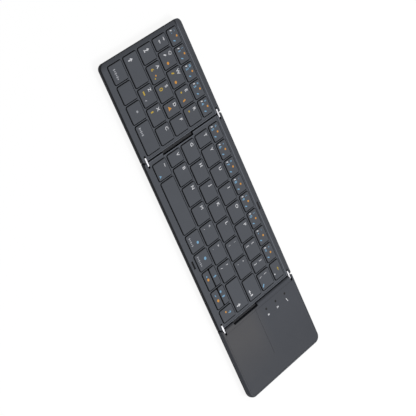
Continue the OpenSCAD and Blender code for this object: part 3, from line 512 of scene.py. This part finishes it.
# Sides of a dot or ring
ROUND_SIDES = 20
# The width of a bar, as a share of its length
BAR_WIDTH = 0.42
# An arrow's parts as shares of its size: where each has its middle, from the arrow's own, and how
# large it is
SHAFT_AT = -0.2
SHAFT_LENGTH = 0.62
SHAFT_WIDTH = 0.24
HEAD_AT = 0.25
HEAD_SIZE = 0.8
# The font's size and the thickening of its strokes, for capitals of height 1
FONT_SIZE = 1.38
STROKE_SPREAD = 0.025
# Steps in each of a character's curves
CURVE_STEPS = 3
# A thicker stroke would fold these characters' sharp corners over themselves
SHARP_GLYPHS = "MQ*"


class Print:
    """Marks on the pieces of one body, gathered into one mesh of thin closed solids."""

    def __init__(self, z):
        """z is the height of the surface that is printed on."""
        self.z = z
        self.points = []
        self.faces = []
        self.inks = []

    def solid(self, outline, colour):
        """A thin prism over a convex outline that runs anticlockwise."""
        base, count = len(self.points), len(outline)
        for z in (self.z - INK_LIFT, self.z + INK_LIFT):
            self.points.extend((x, y, z) for x, y in outline)
        self.faces.append(tuple(base + i for i in reversed(range(count))))
        self.faces.append(tuple(base + count + i for i in range(count)))
        for i in range(count):
            j = (i + 1) % count
            self.faces.append((base + i, base + j, base + count + j, base + count + i))
        self.inks.extend([colour] * (count + 2))

    def dot(self, x, y, size, colour):
        """A round dot with its middle at x, y."""
        angles = [2 * math.pi * i / ROUND_SIDES for i in range(ROUND_SIDES)]
        self.solid([(x + size / 2 * math.cos(a), y + size / 2 * math.sin(a)) for a in angles], colour)

    def ring(self, x, y, size, hole, colour):
        """A flat ring as one closed solid, between two circles below and the same two above."""
        base, sides = len(self.points), ROUND_SIDES
        for z in (self.z - INK_LIFT, self.z + INK_LIFT):
            for radius in (size / 2, hole / 2):
                for i in range(sides):
                    angle = 2 * math.pi * i / sides
                    self.points.append((x + radius * math.cos(angle),
                                        y + radius * math.sin(angle), z))
        for i in range(sides):
            j = (i + 1) % sides
            starts = range(base, base + 4 * sides, sides)
            low_out, low_in, top_out, top_in = [(start + i, start + j) for start in starts]
            sections = ((top_out, top_in), (low_in, low_out), (low_out, top_out), (top_in, low_in))
            for (a, b), (c, d) in sections:
                self.faces.append((a, b, d, c))
        self.inks.extend([colour] * (4 * sides))

    def bar(self, x, y, length, width, turn, colour):
        """A bar with its middle at x, y, turned in degrees from the X axis."""
        along = Vector((math.cos(math.radians(turn)), math.sin(math.radians(turn)))) * length / 2
        side = Vector((-along.y, along.x)).normalized() * width / 2
        self.solid([(x + a * along.x + b * side.x, y + a * along.y + b * side.y)
                    for a, b in ((-1, -1), (1, -1), (1, 1), (-1, 1))], colour)

    def triangle(self, x, y, size, turn, colour):
        """A triangle whose corners lie on a circle of the given size, one of them at turn."""
        angles = [math.radians(turn + a) for a in (0, 120, 240)]
        self.solid([(x + size / 2 * math.cos(a), y + size / 2 * math.sin(a)) for a in angles], colour)

    def arrow(self, x, y, size, turn, colour):
        """An arrow that points to turn: a bar, and a triangle at its end."""
        way = Vector((math.cos(math.radians(turn)), math.sin(math.radians(turn))))
        self.bar(x + way.x * size * SHAFT_AT, y + way.y * size * SHAFT_AT,
                 size * SHAFT_LENGTH, size * SHAFT_WIDTH, turn, colour)
        self.triangle(x + way.x * size * HEAD_AT, y + way.y * size * HEAD_AT,
                      size * HEAD_SIZE, turn, colour)

    def glyph(self, text, x, y, size, colour):
        """A plain character of the given cap height, with its middle at x, y."""
        curve = bpy.data.curves.new("glyph", "FONT")
        curve.body = text
        curve.size = size * FONT_SIZE
        curve.offset = 0 if text in SHARP_GLYPHS else size * STROKE_SPREAD
        curve.extrude = INK_LIFT
        curve.resolution_u = CURVE_STEPS
        maker = bpy.data.objects.new("glyph", curve)
        bpy.context.scene.collection.objects.link(maker)
        bpy.context.view_layer.update()
        made = maker.evaluated_get(bpy.context.evaluated_depsgraph_get()).to_mesh()
        xs = [v.co.x for v in made.vertices]
        ys = [v.co.y for v in made.vertices]
        shift = Vector((x - (min(xs) + max(xs)) / 2, y - (min(ys) + max(ys)) / 2, self.z))
        base = len(self.points)
        self.points.extend(tuple(v.co + shift) for v in made.vertices)
        for face in made.polygons:
            self.faces.append(tuple(base + i for i in face.vertices))
            self.inks.append(colour)
        bpy.data.objects.remove(maker)
        bpy.data.curves.remove(curve)

    def mark(self, kind, x, y, size, colour):
        """One mark by its kind: dot, or bar, triangle or arrow and its turn, or a character."""
        name, _, turn = kind.partition(" ")
        if name == "dot":
            self.dot(x, y, size, colour)
        elif name == "bar":
            self.bar(x, y, size, size * BAR_WIDTH, float(turn), colour)
        elif name == "triangle":
            self.triangle(x, y, size, float(turn), colour)
        elif name == "arrow":
            self.arrow(x, y, size, float(turn), colour)
        else:
            self.glyph(kind, x, y, size, colour)

    def piece(self, name, body):
        """Makes the gathered marks one piece, which rides on the body."""
        made = mesh_object(name, self.points, self.faces, INKS, self.inks)
        work = bmesh.new()
        work.from_mesh(made.data)
        bmesh.ops.remove_doubles(work, verts=work.verts, dist=PRINT_MERGE)
        bmesh.ops.recalc_face_normals(work, faces=work.faces)
        work.to_mesh(made.data)
        work.free()
        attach(made, body)


def mesh_object(name, points, faces, materials, indices=None):
    """A mesh in the scene, with the index of its material for each face if there are several."""
    mesh = bpy.data.meshes.new(name)
    mesh.from_pydata(points, [], faces)
    for material in materials:
        mesh.materials.append(material)
    if indices:
        mesh.polygons.foreach_set("material_index", indices)
    mesh.update()
    piece = bpy.data.objects.new(name, mesh)
    bpy.context.scene.collection.objects.link(piece)
    return piece


# ---------------------------------------------------------------- what the keys say

# A mark is its kind, its place in mm from the key's left and back edges, its size in mm and its ink.
# Letter and number keys carry plain characters, and the other keys carry plain signs.

LETTERS = {
    "left_top_letter_keys": "QWER",
    "left_home_letter_keys": "ASDF",
    "left_bottom_letter_keys": "ZXC",
    "centre_top_letter_keys": "TYUIOP[]",
    "centre_home_letter_keys": "GHJKL;'",
    "centre_bottom_letter_keys": "VBNM,./",
}
LETTER_SIZE = 3.1
LEFT_LETTER_AT = (3.9, 3.1)
CENTRE_LETTER_AT = (3.6, 3.7)

UPPER_SIGNS = {"[": "{", "]": "}", ";": ":", "'": '"', ",": "<", ".": ">", "/": "?"}
SIGN_SIZE = 2.4
UPPER_SIGN_AT = (2.9, 4.2)
LOWER_SIGN_AT = (2.8, 10.8)

SECOND_MARKS = {
    "Q": [("bar 60", 3.3, 8.7, 2.6, WHITE), ("dot", 10.3, 9.2, 2.4, ORANGE)],
    "W": [("bar 72", 2.9, 8.9, 2.9, YELLOW), ("dot", 10.4, 9.8, 2.4, ORANGE)],
    "E": [("dot", 3.3, 8.9, 1.7, YELLOW), ("bar 105", 10.2, 9.4, 3.0, ORANGE)],
    "R": [("dot", 3.4, 9.4, 1.6, YELLOW)],
    "A": [("6", 4.0, 9.3, 3.3, YELLOW), ("dot", 9.4, 8.6, 1.5, ORANGE),
          ("dot", 11.3, 10.4, 1.3, YELLOW)],
    "S": [("0", 4.0, 9.4, 4.0, YELLOW)],
    "D": [("triangle 80", 4.6, 9.6, 4.4, ORANGE)],
    "Z": [("bar 0", 4.1, 9.8, 3.4, YELLOW), ("bar 70", 10.0, 10.8, 1.9, GREY)],
    "X": [("bar 88", 3.4, 10.0, 2.9, YELLOW)],
}

NUMBER_KEYS = {"left_number_keys": "`1234", "centre_number_keys": "567890-="}
NUMBER_UPPER = dict(zip("`1234567890-=", "~!@#$%^&*()_+"))
DIGIT_SIZE = 2.9
UPPER_SIZE = 1.9
# How much nearer to the back edge the left panel's number keys carry their marks, in mm
NUMBER_RAISE = {"left_number_keys": 1.2, "centre_number_keys": 0}

# The size of a row's dots, as a share of its strokes' length
TICK_DOT = 0.6


def ticks(count, across, down, size=2.0, pitch=1.6):
    """A row of short strokes and dots by turns."""
    row = []
    for i in range(count):
        kind, length = ("dot", size * TICK_DOT) if i % 2 else ("bar 90", size)
        row.append((kind, across + i * pitch, down, length, GREY))
    return row


SIGNS = {
    "tab_key": [("arrow 0", 3.6, 3.0, 2.6, WHITE), ("arrow 180", 4.2, 8.2, 2.8, WHITE)],
    "caps_key": [("arrow 90", 4.3, 6.2, 3.8, WHITE), ("bar 0", 4.3, 9.2, 2.2, WHITE)],
    "left_shift_key": [("arrow 90", 4.2, 8.6, 4.4, WHITE)],
    "ctrl_key": ticks(6, 4.0, 9.9, 2.2),
    "alt_key": [("dot", 7.1, 6.1, 2.0, GREY)],
    "left_wide_key": ticks(5, 2.2, 10.8, 2.2, 1.5),
    "backspace_key": [("arrow 180", 7.0, 3.7, 2.8, YELLOW), ("dot", 9.5, 9.4, 1.3, WHITE)],
    "backslash_key": [("|", 2.7, 5.2, 2.6, WHITE), ("\\", 3.1, 11.4, 2.6, WHITE),
                      ("bar 135", 10.7, 12.2, 3.0, BLUE)],
    "enter_key": [("arrow 180", 11.4, 11.3, 3.4, WHITE), ("bar 90", 14.4, 10.6, 2.6, WHITE)],
    "right_shift_key": [("arrow 90", 20.8, 10.6, 4.0, WHITE)],
    "language_key": [("~", 4.6, 3.0, 3.6, WHITE), ("triangle 90", 10.9, 12.0, 2.8, BLUE)],
    "right_alt_key": [("dot", 9.2, 5.0, 2.4, BLUE)] + ticks(5, 2.7, 11.4, 1.9),
    "right_ctrl_key": [("dot", 6.8, 4.8, 2.6, BLUE)] + ticks(6, 2.2, 11.4, 1.9),
    "end_key": [("arrow 90", 5.4, 4.6, 3.0, BLUE), ("dot", 3.3, 8.3, 1.6, ORANGE)],
}

HALF_KEY_MARKS = {
    "upper_half_keys": [[("arrow 90", 7.9, 3.4, 3.2, BLUE)],
                        [("dot", 3.7, 4.6, 2.0, BLUE), ("bar 82", 8.4, 3.6, 2.9, BLUE)]],
    "lower_half_keys": [[("dot", 6.9, 3.6, 2.3, ORANGE), ("dot", 4.0, 3.8, 1.3, BLUE)],
                        [("dot", 8.7, 3.2, 2.4, ORANGE), ("bar 20", 4.0, 3.8, 1.8, BLUE)]],
}


def letter_marks(node, text):
    """A letter with its second marks, or a sign with its upper sign."""
    across, down = LEFT_LETTER_AT if node.startswith("left") else CENTRE_LETTER_AT
    if text in UPPER_SIGNS:
        return [(UPPER_SIGNS[text], *UPPER_SIGN_AT, SIGN_SIZE, WHITE),
                (text, *LOWER_SIGN_AT, SIGN_SIZE, WHITE)]
    return [(text, across, down, LETTER_SIZE, WHITE)] + SECOND_MARKS.get(text, [])


def number_marks(node, text):
    """A digit with its upper sign, a stroke on each side and a dot."""
    rise = NUMBER_RAISE[node]
    return [(text, 3.5, 7.8 - rise, DIGIT_SIZE, BLUE),
            (NUMBER_UPPER[text], 2.4, 3.4 - rise / 2, UPPER_SIZE, BLUE),
            ("bar 78", 1.2, 7.6 - rise, 2.0, WHITE),
            ("dot", 7.2, 3.8 - rise, 1.8, ORANGE),
            ("bar 62", 9.9, 8.2 - rise, 2.2, BLUE)]


def marks_of(node, index):
    """The marks on one key of a node, counted from the left."""
    if node in LETTERS:
        return letter_marks(node, LETTERS[node][index])
    if node in NUMBER_KEYS:
        return number_marks(node, NUMBER_KEYS[node][index])
    if node in HALF_KEY_MARKS:
        return HALF_KEY_MARKS[node][index]
    return SIGNS.get(node, [])


def print_keys():
    """Prints the keys, with one thin piece for each node that has marks."""
    for body, nodes in frame["record"]["behaviour"]["bodies"].items():
        for node in nodes:
            if not marks_of(node, 0):
                continue
            keys = flat_tops(node)
            height = keys[0][-1]
            print_ = Print(height)
            for index, (x0, _, _, y1, _) in enumerate(keys):
                for kind, across, down, size, colour in marks_of(node, index):
                    print_.mark(kind, x0 + across * MM, y1 - down * MM, size * MM, colour)
            print_.piece(node + "_print", body)


# Width of the dark ring round each indicator light
LIGHT_RING = 2.1 * MM
# Marks beside the indicator lights, from the back one to the front one, in mm from the light
LIGHT_MARKS = [
    [("bar 20", 5.0, -0.5, 1.6, WHITE), ("bar 20", 6.6, 0.1, 1.6, WHITE)],
    [("triangle 90", 5.4, 0.4, 1.9, WHITE), ("bar 0", 5.4, -0.8, 1.7, WHITE)],
    [("0", 5.4, 0, 2.2, WHITE), ("dot", 5.4, 0, 0.7, WHITE)],
]


def print_touch_marks():
    """A dark ring round each indicator light, and a small sign beside it."""
    print_ = Print(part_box("touch_cover")[1].z)
    lights = sorted(flat_tops("indicator_lights"), key=lambda top: -top[2])
    for (x0, x1, y0, y1, _), marks in zip(lights, LIGHT_MARKS):
        x, y = (x0 + x1) / 2, (y0 + y1) / 2
        print_.ring(x, y, LIGHT_RING, x1 - x0, BLACK)
        for kind, across, up, size, colour in marks:
            print_.mark(kind, x + across * MM, y + up * MM, size * MM, colour)
    print_.piece("touch_marks", "touch_panel")


# ---------------------------------------------------------------- floor and light

# Half the floor's side in metres
FLOOR_HALF = 3.0
# A hair under the feet, so that no two faces lie in one plane
FLOOR_Z = -0.02 * MM
# The floor as it is seen: the strength of its plain white, and the share of its own shading
FLOOR_GLOW = 1.05
FLOOR_SHADING = 0.16
# The floor's two tones, as it lights the object
FLOOR_TONES = (0.86, 0.86, 0.86), (0.88, 0.88, 0.88)
WORLD_STRENGTH = 0.5
# Each lamp's name, its place in metres, its size in metres and its power in watts
LAMPS = [
    ("key_light", (1.15, 0.45, 1.7), 0.9, 20),
    ("fill_light", (-0.5, 1.1, 1.6), 1.2, 3),
]


def seen_share(tree):
    """1 for rays that show the background: from the camera, off a gloss or through glass."""
    path = tree.nodes.new("ShaderNodeLightPath")
    most = path.outputs["Is Camera Ray"]
    for name in ("Is Glossy Ray", "Is Transmission Ray"):
        most = combine(tree, "MAXIMUM", most, path.outputs[name])
    return most


def make_floor():
    """A plain pale floor that is seen as white, with the object's shadow left on it."""
    material, tree, shader = new_material("floor")
    tone = noise(tree, object_coordinates(tree), scale=3, detail=2)
    link(tree, mix_colours(tree, tone, *FLOOR_TONES), shader.inputs["Base Color"])
    shader.inputs["Roughness"].default_value = 0.9
    shader.inputs["Specular IOR Level"].default_value = 0.0
    white = tree.nodes.new("ShaderNodeEmission")
    white.inputs["Strength"].default_value = FLOOR_GLOW
    seen = tree.nodes.new("ShaderNodeMixShader")
    seen.inputs["Fac"].default_value = FLOOR_SHADING
    link(tree, white.outputs["Emission"], seen.inputs[1])
    link(tree, shader.outputs["BSDF"], seen.inputs[2])
    either = tree.nodes.new("ShaderNodeMixShader")
    link(tree, seen_share(tree), either.inputs["Fac"])
    link(tree, shader.outputs["BSDF"], either.inputs[1])
    link(tree, seen.outputs["Shader"], either.inputs[2])
    link(tree, either.outputs["Shader"], tree.nodes["Material Output"].inputs["Surface"])
    corners = [(-FLOOR_HALF, -FLOOR_HALF, FLOOR_Z), (FLOOR_HALF, -FLOOR_HALF, FLOOR_Z),
               (FLOOR_HALF, FLOOR_HALF, FLOOR_Z), (-FLOOR_HALF, FLOOR_HALF, FLOOR_Z)]
    mesh_object("floor", corners, [(0, 1, 2, 3)], [material])


def area_light(name, at, size, power):
    """A round soft lamp that faces the object."""
    data = bpy.data.lights.new(name, "AREA")
    data.shape = "DISK"
    data.size = size
    data.energy = power
    lamp = bpy.data.objects.new(name, data)
    way = -Vector(at)
    lamp.matrix_world = Matrix.Translation(at) @ way.to_track_quat("-Z", "Y").to_matrix().to_4x4()
    bpy.context.scene.collection.objects.link(lamp)


def make_light():
    """Even light from all round, and two soft lamps high behind the object."""
    world = bpy.data.worlds.new("world")
    world.use_nodes = True
    tree = world.node_tree
    around = tree.nodes["Background"]
    around.inputs["Color"].default_value = (1, 1, 1, 1)
    around.inputs["Strength"].default_value = WORLD_STRENGTH
    seen = tree.nodes.new("ShaderNodeBackground")
    seen.inputs["Color"].default_value = (1, 1, 1, 1)
    either = tree.nodes.new("ShaderNodeMixShader")
    link(tree, seen_share(tree), either.inputs["Fac"])
    link(tree, around.outputs["Background"], either.inputs[1])
    link(tree, seen.outputs["Background"], either.inputs[2])
    link(tree, either.outputs["Shader"], tree.nodes["World Output"].inputs["Surface"])
    bpy.context.scene.world = world
    for name, at, size, power in LAMPS:
        area_light(name, at, size, power)


make_camera()
make_floor()
make_light()
dress_nodes()
print_keys()
print_touch_marks()

scene = bpy.context.scene
scene.view_settings.view_transform = "Standard"
